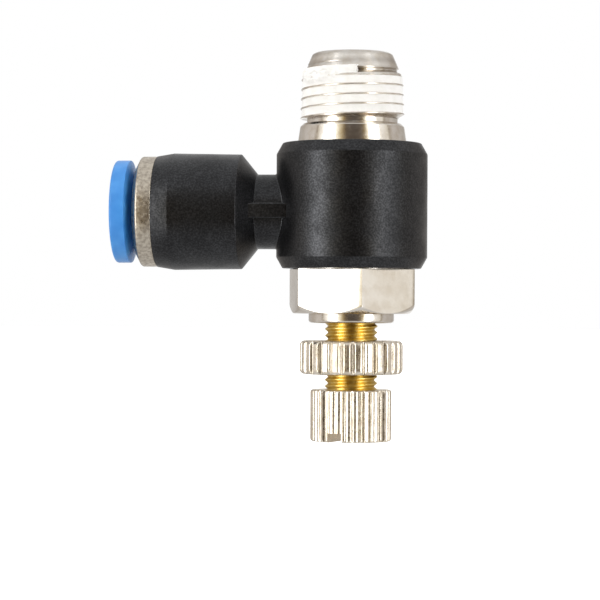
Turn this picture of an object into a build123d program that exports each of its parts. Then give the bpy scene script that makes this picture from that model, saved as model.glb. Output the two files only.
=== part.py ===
from build123d import *
import math
import os

# Elbow flow control valve: a threaded metal body that a plastic push-in elbow swivels on.
# Millimetres. +Z runs out of the pipe thread, -X out of the tube port. The origin is on
# the thread's axis at the gauge plane, where the taper thread has its nominal diameter.

# R 1/8 taper pipe thread
gauge_major_r = 9.728 / 2
thread_above_gauge = 3.7
pipe_pitch = 0.907
pipe_depth = 0.581
pipe_taper = 1 / 32
pipe_crest_share = 0.08
thread_below_gauge = 2.54
thread_end_chamfer = 1.07
thread_end_drop = 2.4

# thread sealant, a coat that fills the grooves
sealant_below_crest = 0.15
sealant_turns = 5
sealant_start = 0.35
sealant_gap = 0.03
sealant_foot_share = 0.01

# turned metal body
passage_r = 2.5
relief_r = 4.3
relief_width = 0.47
snap_height = 1.80
snap_lead = 0.12
snap_grip = 0.10
snap_edge = 0.3
hex_across_flats = 11.05
hex_height = 4.21
hex_turn = -77.0
hex_chamfer_angle = 30.0
waist_depth = 0.8
seat_r = 1.5
seat_length = 0.7
seat_below_ring_top = 3.44
return_hole_r = 0.5
return_hole_count = 6
supply_hole_r = 0.9
supply_hole_count = 4

# check seal and its groove on the body
seal_flange_depth = 0.25
seal_flange_width = 0.3
seal_groove_depth = 1.0
seal_groove_width = 1.0
seal_wall = 0.2
seal_fold_start = 0.35
seal_fold_end = 0.5
seal_floor_share = 0.4
seal_lip_drop = 0.2
seal_lip_edge = 0.1

# ring seals between body and elbow
ring_groove_depth = 0.9
ring_groove_width = 1.1
upper_groove_inset = 0.45
lower_groove_inset = 1.3

# plastic elbow
ring_r = 7.15
ring_height = 11.84
ring_bore_r = 5.05
ring_chamfer_in = 0.59
ring_chamfer_along = 1.05
chamber_depth = 0.85
supply_chamber_height = 3.4
seal_land_height = 1.8
return_chamber_height = 1.1
arm_below_ring_top = 6.48
neck_r = 3.55
neck_length = 1.8
socket_cone_length = 1.55
socket_cone_over_end = 0.17
socket_length = 6.4
socket_bevel_over_end = 0.27
socket_bevel_length = 1.63
socket_wall = 1.13
rib_height = 1.45
rib_reach = 4.1
rib_past_neck = 1.15
flow_bore_r = 1.25
tube_stop_past_neck = 0.45
tube_bore_length = 3.2
seal_pocket_depth = 1.25
seal_pocket_length = 1.7

# push-in parts in the socket, which take a 4 mm tube
tube_r = 2.0
spacer_length = 0.7
spacer_clearance = 0.15
spacer_edge = 0.15
claw_clearance = 0.1
claw_thickness = 0.25
claw_ring_clearance = 0.2
claw_bite = 0.05
claw_tip_depth = 0.5
claw_count = 8
claw_slot = 0.4
tube_lip_bite = 0.13
tube_lip_width = 0.15
tube_lip_share = 0.1
tube_lip_end_share = 0.35
tube_seal_edge = 0.25
tube_seal_wall = 0.55
tube_seal_fold = 0.3
tube_seal_fold_share = 0.5
tube_seal_heel = 0.15
tube_seal_heel_share = 0.8
collar_inset = 0.03
collar_length = 1.87
collar_edge_in = 0.85
collar_edge_along = 0.45
collar_bore_clearance = 0.1
collar_cavity_clearance = 0.15
collar_wall = 0.69
collar_cavity_length = 1.3
collar_mouth_reach = 1.1
collar_mouth_depth = 0.5

# release ring
sleeve_clearance = 0.1
sleeve_wall = 0.9
barb_reach = 0.3
barb_length = 0.5
nose_length = 0.3
back_cone_length = 0.48
release_gap = 0.73
release_rim_inset = 0.37
release_rim_width = 1.37
release_rim_round = 0.2
release_mouth_bevel = 0.5

# needle with an M5 special fine thread
needle_major_r = 2.5
needle_pitch = 0.6
needle_depth = 0.27
needle_crest_share = 0.14
needle_root_share = 0.3
gland_over_thread = 0.3
gland_height = 1.5
gland_below_arm = 1.86
gland_groove_depth = 0.72
gland_groove_width = 0.85
undercut_below_root = 0.03
undercut_width = 0.4
stem_shoulder = 0.46
meter_clearance = 0.06
meter_length = 2.3
meter_tip_r = 1.1
tip_length = 0.4
tip_r = 0.6
closing_travel = 0.8
stud_shoulder = 0.6
stud_end_wall = 1.6

# guide bush pressed into the hexagon
bush_flange_reach = 0.8
bush_flange_height = 0.89
bush_edge_round = 0.3
bush_wall = 0.75
bush_spigot_length = 2.36

# lock nut and knob on the needle's thread
ridge_start_share = 0.3
ridge_end_share = 0.7
nut_gap = 1.64
nut_r = 4.9
nut_height = 3.21
nut_ridges = 28
nut_turn = -84.0
nut_ridge_depth = 0.28
nut_edge_round = 0.5
knob_gap = 1.43
knob_r = 3.85
knob_height = 4.9
knob_ridges = 42
knob_turn = -84.0
knob_ridge_depth = 0.16
knob_edge_round = 0.25
slot_width = 1.45
slot_depth = 0.87
slot_turn = 70.0

# clearances
run_gap = 0.05
thread_gap = 0.04
seal_gap = 0.02
fit_gap = 0.01

# heights, worked out downwards from the gauge plane
thread_top = thread_above_gauge
thread_bottom = -thread_below_gauge
relief_bottom = thread_bottom - relief_width
snap_bottom = relief_bottom - snap_height
ring_top = snap_bottom - run_gap
ring_bottom = ring_top - ring_height
hex_top = ring_bottom - run_gap
hex_bottom = hex_top - hex_height
bush_bottom = hex_bottom - bush_flange_height
nut_top = bush_bottom - nut_gap
nut_bottom = nut_top - nut_height
knob_top = nut_bottom - knob_gap
knob_bottom = knob_top - knob_height
arm_z = ring_top - arm_below_ring_top
supply_top = arm_z + supply_chamber_height / 2
supply_bottom = arm_z - supply_chamber_height / 2
return_bottom = supply_top + seal_land_height
return_top = return_bottom + return_chamber_height
seat_top = ring_top - seat_below_ring_top
seat_bottom = seat_top - seat_length
seal_middle = (supply_top + return_bottom) / 2
seal_groove_top = seal_middle + seal_groove_width / 2
seal_groove_bottom = seal_middle - seal_groove_width / 2
upper_groove_top = ring_top - upper_groove_inset
upper_groove_bottom = upper_groove_top - ring_groove_width
lower_groove_bottom = ring_bottom + lower_groove_inset
lower_groove_top = lower_groove_bottom + ring_groove_width
gland_top = arm_z - gland_below_arm
gland_bottom = gland_top - gland_height
gland_middle = (gland_top + gland_bottom) / 2

# radii of the metal body, worked out from the elbow's bore
shank_r = ring_bore_r - run_gap
waist_r = shank_r - waist_depth
seal_flange_r = shank_r - seal_flange_depth
seal_groove_r = shank_r - seal_groove_depth
ring_groove_r = shank_r - ring_groove_depth
snap_small_r = ring_bore_r - snap_lead
snap_large_r = ring_bore_r + snap_grip
chamber_r = ring_bore_r + chamber_depth

# radii of the needle and what it runs in, worked out from its thread and its seat
gland_bore_r = needle_major_r + gland_over_thread
gland_r = gland_bore_r - run_gap
gland_groove_r = gland_r - gland_groove_depth
undercut_r = needle_major_r - needle_depth - undercut_below_root
meter_r = seat_r - meter_clearance
stem_r = meter_r + stem_shoulder
stud_r = needle_major_r - stud_shoulder
stud_length = knob_height - stud_end_wall
bush_spigot_r = needle_major_r + bush_wall
bush_flange_r = bush_spigot_r + bush_flange_reach

# radii in the socket, worked out from the tube outwards
tube_bore_r = tube_r + run_gap
seal_pocket_r = tube_bore_r + seal_pocket_depth
spacer_inner_r = tube_r + spacer_clearance
claw_tip_r = tube_r - claw_bite
tube_lip_r = tube_r - tube_lip_bite
sleeve_bore_r = tube_r + sleeve_clearance
sleeve_r = sleeve_bore_r + sleeve_wall
barb_r = sleeve_r + barb_reach
release_mouth_r = sleeve_bore_r + release_mouth_bevel
claw_ring_inner_r = sleeve_r + claw_ring_clearance
collar_bore_r = sleeve_r + collar_bore_clearance
collar_cavity_r = barb_r + collar_cavity_clearance
collar_mouth_r = collar_bore_r + collar_mouth_reach
socket_bore_r = collar_cavity_r + collar_wall + fit_gap
socket_end_r = socket_bore_r + socket_wall
socket_start_r = socket_end_r + socket_cone_over_end
socket_bevel_r = socket_end_r + socket_bevel_over_end
collar_r = socket_end_r - collar_inset
release_rim_r = collar_r - release_rim_inset

# places along the arm, measured from the body's axis towards the tube port
neck_end = ring_r + neck_length
rib_end = neck_end + rib_past_neck
tube_stop = neck_end + tube_stop_past_neck
socket_start = neck_end + socket_cone_length
socket_bevel_start = socket_start + socket_length
socket_end = socket_bevel_start + socket_bevel_length
pocket_start = tube_stop + tube_bore_length
pocket_end = pocket_start + seal_pocket_length
claw_start = pocket_end + spacer_length + seal_gap
collar_start = claw_start + claw_thickness + seal_gap
collar_end = socket_end + collar_length
cavity_end = collar_start + collar_cavity_length
barb_end = cavity_end - run_gap
barb_start = barb_end - barb_length
sleeve_start = barb_start - nose_length
rim_start = collar_end + release_gap
hub_end = rim_start - back_cone_length
rim_end = rim_start + release_rim_width

arm_axis = Axis((0, 0, arm_z), (-1, 0, 0))
arm_plane = Plane(origin=(0, 0, arm_z), x_dir=(-1, 0, 0), z_dir=(0, 1, 0))


def outline(points, rounds=()):
    """A closed flat outline; rounds lists (corner, radius) pairs."""
    face = make_face(Polyline(*points, close=True))
    for corner, radius in rounds:
        face = fillet(face.vertices().sort_by_distance((*corner, 0))[0], radius)
    return face


def turned(points, rounds=()):
    """A solid turned about the body's axis from (radius, height) points."""
    return revolve(Plane.XZ * outline(points, rounds), Axis.Z)


def arm_turned(points, rounds=()):
    """A solid turned about the arm's axis from (distance, radius) points."""
    return revolve(arm_plane * outline(points, rounds), arm_axis)


def polar(radius, share):
    """A point at a share of a full turn, counted anticlockwise from +X."""
    return Vector(radius * math.cos(2 * math.pi * share), radius * math.sin(2 * math.pi * share))


def flank(start_r, start_share, end_r, end_share):
    """A thread flank in cross-section: a spiral, as the radius falls evenly with the turn."""
    steps = 6
    points = []
    for i in range(steps + 1):
        t = i / steps
        points.append(polar(start_r + (end_r - start_r) * t, start_share + (end_share - start_share) * t))
    return Spline(*points)


def thread_section(major_r, depth, crest_share):
    """Cross-section of a single-start thread: crest arc, flank, root arc, flank."""
    minor_r = major_r - depth
    half_crest = crest_share / 2
    half_root = 0.5 - crest_share / 2
    crest = ThreePointArc(polar(major_r, -half_crest), polar(major_r, 0), polar(major_r, half_crest))
    root = ThreePointArc(polar(minor_r, half_root), polar(minor_r, 0.5), polar(minor_r, 1 - half_root))
    falling = flank(major_r, half_crest, minor_r, half_root)
    rising = flank(minor_r, 1 - half_root, major_r, 1 - half_crest)
    return Face(Wire([crest, falling, root, rising]))


def sealant_section(major_r):
    """Cross-section of the coat: it fills the groove up to a level below the crest."""
    coat_r = major_r - sealant_below_crest
    root_r = major_r - pipe_depth + sealant_gap
    half_crest = pipe_crest_share / 2
    half_root = 0.5 - pipe_crest_share / 2
    fall = (half_root - half_crest) / pipe_depth
    edge = half_crest + (sealant_below_crest + sealant_gap) * fall
    corner = half_root - sealant_foot_share
    outer = ThreePointArc(polar(coat_r, edge), polar(coat_r, 0.5), polar(coat_r, 1 - edge))
    rising = flank(coat_r, 1 - edge, root_r, 1 - corner)
    inner = ThreePointArc(polar(root_r, 1 - corner), polar(root_r, 0.5), polar(root_r, corner))
    falling = flank(root_r, corner, coat_r, edge)
    return Face(Wire([outer, rising, inner, falling]))


def screw_sweep(bottom_section, top_section, bottom, pitch, turns):
    """Sweep a section up the axis for whole turns, right-handed."""
    height = pitch * turns
    spine = Wire([Edge.make_line((0, 0, bottom), (0, 0, bottom + height))])
    guide = Wire([Edge.make_helix(pitch, height, 1.0, center=(0, 0, bottom))])
    sections = [Pos(0, 0, bottom) * bottom_section, Pos(0, 0, bottom + height) * top_section]
    return Solid.sweep_multi(sections, spine, binormal=guide)


def pipe_major_r(z):
    """Major radius of the taper thread at a height."""
    return gauge_major_r - pipe_taper * z


def pipe_thread():
    """The taper thread: a screw solid trimmed to a relief face and a bevelled end."""
    turns = math.ceil((thread_top - thread_bottom) / pipe_pitch) + 1
    bottom = thread_bottom - pipe_pitch / 2
    top = bottom + turns * pipe_pitch
    low = thread_section(pipe_major_r(bottom), pipe_depth, pipe_crest_share)
    high = thread_section(pipe_major_r(top), pipe_depth, pipe_crest_share)
    screw = screw_sweep(low, high, bottom, pipe_pitch, turns)
    edge_r = pipe_major_r(thread_top) - thread_end_chamfer
    envelope = turned([
        (passage_r, thread_bottom),
        (pipe_major_r(thread_bottom) + fit_gap, thread_bottom),
        (pipe_major_r(thread_top - thread_end_drop) + fit_gap, thread_top - thread_end_drop),
        (edge_r, thread_top),
        (passage_r, thread_top),
    ])
    return screw & envelope


def shank():
    """The turned body below the thread, with its grooves, seat and needle bore."""
    return turned([
        (passage_r, thread_bottom),
        (relief_r, thread_bottom),
        (relief_r, relief_bottom),
        (snap_small_r - snap_edge, relief_bottom),
        (snap_small_r, relief_bottom - snap_edge),
        (snap_large_r, snap_bottom),
        (shank_r, snap_bottom),
        (shank_r, upper_groove_top),
        (ring_groove_r, upper_groove_top),
        (ring_groove_r, upper_groove_bottom),
        (shank_r, upper_groove_bottom),
        (shank_r, return_top),
        (waist_r, return_top),
        (waist_r, seal_groove_top + seal_flange_width),
        (seal_flange_r, seal_groove_top + seal_flange_width),
        (seal_flange_r, seal_groove_top),
        (seal_groove_r, seal_groove_top),
        (seal_groove_r, seal_groove_bottom),
        (seal_flange_r, seal_groove_bottom),
        (seal_flange_r, seal_groove_bottom - seal_flange_width),
        (waist_r, seal_groove_bottom - seal_flange_width),
        (waist_r, supply_bottom),
        (shank_r, supply_bottom),
        (shank_r, lower_groove_top),
        (ring_groove_r, lower_groove_top),
        (ring_groove_r, lower_groove_bottom),
        (shank_r, lower_groove_bottom),
        (shank_r, hex_top),
        (gland_bore_r, hex_top),
        (gland_bore_r, seat_bottom),
        (seat_r, seat_bottom),
        (seat_r, seat_top),
        (passage_r, seat_top + (passage_r - seat_r)),
    ])


def hexagon():
    """The spanner hexagon, its lower corners bevelled, bored for the needle and the bush."""
    across_r = hex_across_flats / 2
    corner_r = hex_across_flats / math.sqrt(3)
    rise = (corner_r - across_r) * math.tan(math.radians(hex_chamfer_angle))
    flats = extrude(Pos(0, 0, hex_bottom) * RegularPolygon(corner_r, 6, rotation=hex_turn), hex_height)
    round_bar = turned([
        (gland_bore_r, hex_top),
        (corner_r + fit_gap, hex_top),
        (corner_r + fit_gap, hex_bottom + rise),
        (across_r + fit_gap, hex_bottom),
        (bush_spigot_r + fit_gap, hex_bottom),
        (bush_spigot_r + fit_gap, hex_bottom + bush_spigot_length + fit_gap),
        (gland_bore_r, hex_bottom + bush_spigot_length + fit_gap),
    ])
    return flats & round_bar


def radial_holes(radius, count, z):
    """Round holes from the axis outwards, evenly spaced."""
    drill = Pos(0, 0, z) * Rot(0, 90, 0) * Cylinder(
        radius, chamber_r, align=(Align.CENTER, Align.CENTER, Align.MIN))
    return [Rot(0, 0, 360 * (i + 0.5) / count) * drill for i in range(count)]


def valve_body():
    """Hexagon, shank with cross holes, snap cone and taper thread, in one piece."""
    body = shank() + hexagon()
    body -= radial_holes(return_hole_r, return_hole_count, (return_bottom + return_top) / 2)
    body -= radial_holes(supply_hole_r, supply_hole_count, arm_z)
    return body + pipe_thread()


def thread_sealant():
    """The coat in the thread's grooves, a screw ribbon just clear of the metal."""
    bottom = thread_bottom + sealant_start
    turn_offset = 360 * (bottom - (thread_bottom - pipe_pitch / 2)) / pipe_pitch
    low = Rot(0, 0, turn_offset) * sealant_section(pipe_major_r(bottom))
    high = Rot(0, 0, turn_offset) * sealant_section(pipe_major_r(bottom + sealant_turns * pipe_pitch))
    return screw_sweep(low, high, bottom, pipe_pitch, sealant_turns)


def round_seal(inner_r, outer_r, z):
    """A rubber ring of round section between two radii."""
    section_r = (outer_r - inner_r) / 2
    return Pos(0, 0, z) * Torus((inner_r + outer_r) / 2, section_r)


def check_seal():
    """A lip seal in the body's groove; its lip opens towards the thread."""
    inner = seal_groove_r + run_gap
    lip = ring_bore_r - seal_gap
    low = seal_groove_bottom + run_gap
    high = seal_groove_top - run_gap
    floor = low + (high - low) * seal_floor_share
    return turned([
        (inner, low),
        (seal_flange_r, low),
        (lip, high - seal_lip_drop),
        (lip - seal_lip_edge, high),
        (inner + seal_fold_end, floor),
        (inner + seal_fold_start, floor),
        (inner + seal_wall, high),
        (inner, high),
    ])


def guide_bush():
    """A flanged bush pressed into the hexagon, bored for the needle's thread."""
    bore_r = needle_major_r + thread_gap
    top = hex_bottom + bush_spigot_length
    return turned([
        (bore_r, bush_bottom),
        (bush_flange_r, bush_bottom),
        (bush_flange_r, hex_bottom),
        (bush_spigot_r, hex_bottom),
        (bush_spigot_r, top),
        (bore_r, top),
    ], [((bush_flange_r, bush_bottom), bush_edge_round)])


def needle_thread(bottom, top):
    """Outline points of the needle's thread, as one ring groove to a turn."""
    minor_r = needle_major_r - needle_depth
    half_mouth = needle_pitch * (1 - needle_crest_share) / 2
    half_root = needle_pitch * needle_root_share / 2
    points = []
    for i in range(math.floor((top - bottom) / needle_pitch)):
        middle = bottom + (i + 0.5) * needle_pitch
        points.append((needle_major_r, middle - half_mouth))
        points.append((minor_r, middle - half_root))
        points.append((minor_r, middle + half_root))
        points.append((needle_major_r, middle + half_mouth))
    return points


def needle():
    """The adjusting needle: stud, screw thread, seal groove and metering cone."""
    thread_end = gland_bottom - undercut_width
    shoulder = seat_bottom - closing_travel - run_gap
    meter_bottom = shoulder + (seat_r - meter_r)
    stem_top = meter_bottom - (stem_r - meter_r)
    groove_top = gland_middle + gland_groove_width / 2
    groove_bottom = gland_middle - gland_groove_width / 2
    return turned([
        (0, knob_top - stud_length),
        (stud_r, knob_top - stud_length),
        (stud_r, knob_top),
        (needle_major_r, knob_top),
        *needle_thread(knob_top, thread_end),
        (needle_major_r, thread_end),
        (undercut_r, thread_end),
        (undercut_r, gland_bottom),
        (gland_r, gland_bottom),
        (gland_r, groove_bottom),
        (gland_groove_r, groove_bottom),
        (gland_groove_r, groove_top),
        (gland_r, groove_top),
        (gland_r, gland_top),
        (stem_r, gland_top),
        (stem_r, stem_top),
        (meter_r, meter_bottom),
        (meter_tip_r, meter_bottom + meter_length),
        (tip_r, meter_bottom + meter_length + tip_length),
        (0, meter_bottom + meter_length + tip_length),
    ])


def knurled(radius, height, ridges, depth, turn, bottom, edge_round):
    """A straight-knurled drum with rounded edges; a groove lies at the given turn from +X."""
    points = []
    for i in range(ridges):
        for share, r in ((0, radius - depth), (ridge_start_share, radius), (ridge_end_share, radius)):
            points.append(polar(r, (i + share) / ridges + turn / 360))
    drum = extrude(Pos(0, 0, bottom) * make_face(Polyline(*points, close=True)), height)
    envelope = turned([
        (0, bottom),
        (radius, bottom),
        (radius, bottom + height),
        (0, bottom + height),
    ], [((radius, bottom), edge_round), ((radius, bottom + height), edge_round)])
    return drum & envelope


def lock_nut():
    """The knurled lock nut, with a plain bore clear of the needle's thread."""
    nut = knurled(nut_r, nut_height, nut_ridges, nut_ridge_depth, nut_turn, nut_bottom, nut_edge_round)
    bore = Pos(0, 0, nut_bottom) * Cylinder(
        needle_major_r + thread_gap, nut_height, align=(Align.CENTER, Align.CENTER, Align.MIN))
    return nut - bore


def knob():
    """The knurled knob staked on the needle's stud, slotted across its end."""
    drum = knurled(knob_r, knob_height, knob_ridges, knob_ridge_depth, knob_turn, knob_bottom, knob_edge_round)
    depth = stud_length + fit_gap
    bore = Pos(0, 0, knob_top - depth) * Cylinder(
        stud_r + fit_gap, depth, align=(Align.CENTER, Align.CENTER, Align.MIN))
    slot = Pos(0, 0, knob_bottom) * Rot(0, 0, slot_turn) * Box(3 * knob_r, slot_width, 2 * slot_depth)
    return drum - bore - slot


def elbow_outside():
    """The swivel ring with its arm, socket and the rib on each side of the neck."""
    ring = turned([
        (0, ring_bottom),
        (ring_r - ring_chamfer_in, ring_bottom),
        (ring_r, ring_bottom + ring_chamfer_along),
        (ring_r, ring_top - ring_chamfer_along),
        (ring_r - ring_chamfer_in, ring_top),
        (0, ring_top),
    ])
    arm = arm_turned([
        (0, 0),
        (0, neck_r),
        (neck_end, neck_r),
        (socket_start, socket_start_r),
        (socket_bevel_start, socket_bevel_r),
        (socket_end, socket_end_r),
        (socket_end, 0),
    ])
    rib = Pos(-rib_end / 2, 0, arm_z) * Box(rib_end, 2 * rib_reach, rib_height)
    return ring + arm + rib


def elbow_body():
    """The black plastic elbow, bored for the metal body and for the push-in parts."""
    bore = turned([
        (0, ring_bottom),
        (ring_bore_r, ring_bottom),
        (ring_bore_r, supply_bottom),
        (chamber_r, supply_bottom),
        (chamber_r, supply_top),
        (ring_bore_r, supply_top),
        (ring_bore_r, return_bottom),
        (chamber_r, return_bottom),
        (chamber_r, return_top),
        (ring_bore_r, return_top),
        (ring_bore_r, ring_top),
        (0, ring_top),
    ])
    port = arm_turned([
        (chamber_r / 2, 0),
        (chamber_r / 2, flow_bore_r),
        (tube_stop, flow_bore_r),
        (tube_stop, tube_bore_r),
        (pocket_start, tube_bore_r),
        (pocket_start, seal_pocket_r),
        (pocket_end, seal_pocket_r),
        (pocket_end, socket_bore_r),
        (socket_end, socket_bore_r),
        (socket_end, 0),
    ])
    return elbow_outside() - bore - port


def tube_seal():
    """The rubber lip seal that the tube passes; its lips face the body."""
    outer = seal_pocket_r - seal_gap
    low = pocket_start + seal_gap
    high = pocket_end - seal_gap
    length = high - low
    fold = low + tube_seal_fold_share * length
    lip = low + tube_lip_share * length
    return arm_turned([
        (low, outer),
        (low, outer - tube_seal_edge),
        (fold, outer - tube_seal_wall),
        (fold, outer - tube_seal_wall - tube_seal_fold),
        (lip, tube_lip_r + tube_lip_width),
        (lip, tube_lip_r),
        (low + tube_lip_end_share * length, tube_lip_r),
        (low + tube_seal_heel_share * length, spacer_inner_r + tube_seal_heel),
        (high, spacer_inner_r + tube_seal_heel),
        (high, outer),
    ])


def claw_spacer():
    """The spacer between seal and claws, dished so that the claws can bend."""
    outer = socket_bore_r - fit_gap
    high = pocket_end + spacer_length
    return arm_turned([
        (pocket_end, spacer_inner_r),
        (pocket_end, outer),
        (high, outer),
        (high, claw_ring_inner_r + claw_clearance),
        (pocket_end + spacer_edge, spacer_inner_r),
    ])


def lock_claws():
    """A spring-steel ring with teeth that lean inwards and grip the tube."""
    outer = socket_bore_r - fit_gap
    blank = arm_turned([
        (claw_start, outer),
        (claw_start + claw_thickness, outer),
        (claw_start + claw_thickness, claw_ring_inner_r),
        (claw_start + claw_thickness - claw_tip_depth, claw_tip_r),
        (claw_start - claw_tip_depth, claw_tip_r),
        (claw_start, claw_ring_inner_r),
    ])
    middle = claw_start - claw_tip_depth / 2
    reach = claw_ring_inner_r + claw_clearance
    cut = Pos(-middle, 0, arm_z + reach / 2) * Box(2 * claw_tip_depth + claw_thickness, claw_slot, reach)
    slots = [cut.rotate(arm_axis, 360 * i / claw_count) for i in range(claw_count)]
    return blank - slots


def port_collar():
    """The metal collar pressed into the socket; it clamps the claws and guides the ring."""
    outer = socket_bore_r - fit_gap
    return arm_turned([
        (collar_start, collar_cavity_r),
        (collar_start, outer),
        (socket_end, outer),
        (socket_end, collar_r),
        (collar_end - collar_edge_along, collar_r),
        (collar_end, collar_r - collar_edge_in),
        (collar_end, collar_mouth_r),
        (collar_end - collar_mouth_depth, collar_bore_r),
        (cavity_end, collar_bore_r),
        (cavity_end, collar_cavity_r),
    ])


def release_ring():
    """The release ring: a barbed sleeve in the collar and a rim to press."""
    return arm_turned([
        (sleeve_start, sleeve_bore_r),
        (sleeve_start, sleeve_r - nose_length),
        (barb_start, sleeve_r),
        (barb_start, barb_r),
        (barb_end, barb_r),
        (barb_end, sleeve_r),
        (hub_end, sleeve_r),
        (rim_start, release_rim_r),
        (rim_end, release_rim_r),
        (rim_end, release_mouth_r),
        (rim_end - (release_mouth_r - sleeve_bore_r), sleeve_bore_r),
    ], [((rim_start, release_rim_r), release_rim_round), ((rim_end, release_rim_r), release_rim_round)])


pieces = {
    "valve_body": valve_body(),
    "thread_sealant": thread_sealant(),
    "guide_bush": guide_bush(),
    "check_seal": check_seal(),
    "o_ring_upper": round_seal(
        ring_groove_r + fit_gap, ring_bore_r - seal_gap, (upper_groove_top + upper_groove_bottom) / 2),
    "o_ring_lower": round_seal(
        ring_groove_r + fit_gap, ring_bore_r - seal_gap, (lower_groove_top + lower_groove_bottom) / 2),
    "needle": needle(),
    "needle_o_ring": round_seal(gland_groove_r + seal_gap, gland_bore_r - seal_gap, gland_middle),
    "knob": knob(),
    "lock_nut": lock_nut(),
    "elbow_body": elbow_body(),
    "tube_seal": tube_seal(),
    "claw_spacer": claw_spacer(),
    "lock_claws": lock_claws(),
    "port_collar": port_collar(),
    "release_ring": release_ring(),
}

os.makedirs("parts", exist_ok=True)
for node, shape in pieces.items():
    export_step(shape, f"parts/{node}.step")
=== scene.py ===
import bmesh
import bpy
import math
from mathutils import Matrix, Vector


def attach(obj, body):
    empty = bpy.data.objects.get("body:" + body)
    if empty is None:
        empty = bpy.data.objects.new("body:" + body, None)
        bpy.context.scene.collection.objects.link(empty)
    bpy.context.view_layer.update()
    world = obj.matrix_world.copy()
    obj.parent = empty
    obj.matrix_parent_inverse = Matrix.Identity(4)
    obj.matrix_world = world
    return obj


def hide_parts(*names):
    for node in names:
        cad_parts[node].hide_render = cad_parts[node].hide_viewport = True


# Elbow flow control valve, in metres: a nickel-plated body with a taper thread, a black
# plastic push-in elbow that swivels on it, and a brass needle with its nut and knob.

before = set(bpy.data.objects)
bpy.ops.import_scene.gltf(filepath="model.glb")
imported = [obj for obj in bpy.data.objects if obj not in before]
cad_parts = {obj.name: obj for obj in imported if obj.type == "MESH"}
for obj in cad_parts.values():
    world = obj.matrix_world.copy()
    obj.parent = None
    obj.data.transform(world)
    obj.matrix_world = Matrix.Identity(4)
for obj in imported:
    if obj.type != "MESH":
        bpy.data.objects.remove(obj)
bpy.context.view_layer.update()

# ---------------------------------------------------------------------------------------
# Valve body. One piece of brass turned from hexagon bar, then nickel plated. The taper
# thread is cut on its end, and the plastic elbow is pushed over the snap cone below it.

MM = 0.001
STEPS = 240                      # faces round a turned piece


def add(tree, kind, inputs=(), **settings):
    """Adds a node, sets it, and links or fills its inputs by place or by name."""
    node = tree.nodes.new(kind)
    for name, value in settings.items():
        setattr(node, name, value)
    for key, value in inputs.items() if isinstance(inputs, dict) else enumerate(inputs):
        if isinstance(value, bpy.types.Node):
            value = value.outputs[0]
        if isinstance(value, bpy.types.NodeSocket):
            tree.links.new(value, node.inputs[key])
        elif value is not None:
            node.inputs[key].default_value = value
    return node


def calc(tree, operation, *values, clamp=False):
    """Adds one step of arithmetic."""
    return add(tree, "ShaderNodeMath", values, operation=operation, use_clamp=clamp)


def linear(code):
    """An sRGB hex colour as linear RGBA."""
    parts = [int(code[i:i + 2], 16) / 255 for i in (1, 3, 5)]
    return tuple(p / 12.92 if p <= 0.04045 else ((p + 0.055) / 1.055) ** 2.4 for p in parts) + (1.0,)


def surface(name):
    """A new material with its node tree and its Principled shader."""
    material = bpy.data.materials.new(name)
    material.use_nodes = True
    tree = material.node_tree
    return material, tree, tree.nodes["Principled BSDF"]


def noise(tree, place, mm, detail, **settings):
    """Adds noise whose grains are about so many millimetres across."""
    inputs = {"Vector": place, "Scale": 1 / (mm * MM), "Detail": detail, **settings}
    return add(tree, "ShaderNodeTexNoise", inputs).outputs["Fac"]


def shades(tree, share, *stops):
    """Adds a colour ramp between two (position, sRGB code) stops."""
    ramp = add(tree, "ShaderNodeValToRGB", {0: share})
    for element, (position, code) in zip(ramp.color_ramp.elements, stops):
        element.position = position
        element.color = linear(code)
    return ramp.outputs["Color"]


def between(tree, share, low=0.0, high=1.0, start=0.0, end=1.0, form="LINEAR"):
    """Adds a number that runs from low to high as the share runs from start to end."""
    span = {"Value": share, "From Min": start, "From Max": end, "To Min": low, "To Max": high}
    return add(tree, "ShaderNodeMapRange", span, interpolation_type=form).outputs["Result"]


def raised(tree, shader, height, mm, strength=1.0):
    """Adds a bump of so many millimetres to a shader."""
    bump = add(tree, "ShaderNodeBump", {"Height": height, "Strength": strength, "Distance": mm * MM})
    tree.links.new(bump.outputs["Normal"], shader.inputs["Normal"])


def eased(points):
    """A closed outline from (across, along, radius) corners in mm, each corner an arc."""
    outline = []
    for i, (r, z, ease) in enumerate(points):
        here = Vector((r, z))
        if not ease:
            outline.append(here)
            continue
        before = (Vector(points[i - 1][:2]) - here).normalized()
        after = (Vector(points[(i + 1) % len(points)][:2]) - here).normalized()
        half = before.angle(after) / 2
        middle = here + (before + after).normalized() * ease / math.sin(half)
        first = here + before * ease / math.tan(half) - middle
        last = here + after * ease / math.tan(half) - middle
        for k in range(6):
            outline.append(middle + first.slerp(last, k / 5) * ease)
    return outline


def turned(points, steps=STEPS):
    """A closed mesh turned about Z from an eased outline, in metres."""
    outline = eased(points)
    shape = bmesh.new()
    rings = []
    for r, z in outline:
        if r < 1e-6:
            rings.append([shape.verts.new((0, 0, z * MM))] * steps)
            continue
        rings.append([
            shape.verts.new((r * MM * math.cos(a), r * MM * math.sin(a), z * MM))
            for a in (2 * math.pi * i / steps for i in range(steps))
        ])
    for i, ring in enumerate(rings):
        other = rings[(i + 1) % len(rings)]
        for k in range(steps):
            corners = [ring[k], ring[(k + 1) % steps], other[(k + 1) % steps], other[k]]
            corners = list(dict.fromkeys(corners))
            if len(corners) > 2:
                shape.faces.new(corners)
    bmesh.ops.recalc_face_normals(shape, faces=shape.faces)
    return shape


def to_arm(shape):
    """Turns a mesh from the Z axis to the arm: along the old Z is now out of the port."""
    place = Matrix.Translation((0, 0, ARM_Z * MM)) @ Matrix.Rotation(-math.pi / 2, 4, "Y")
    bmesh.ops.transform(shape, matrix=place, verts=shape.verts)
    return shape


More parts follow.
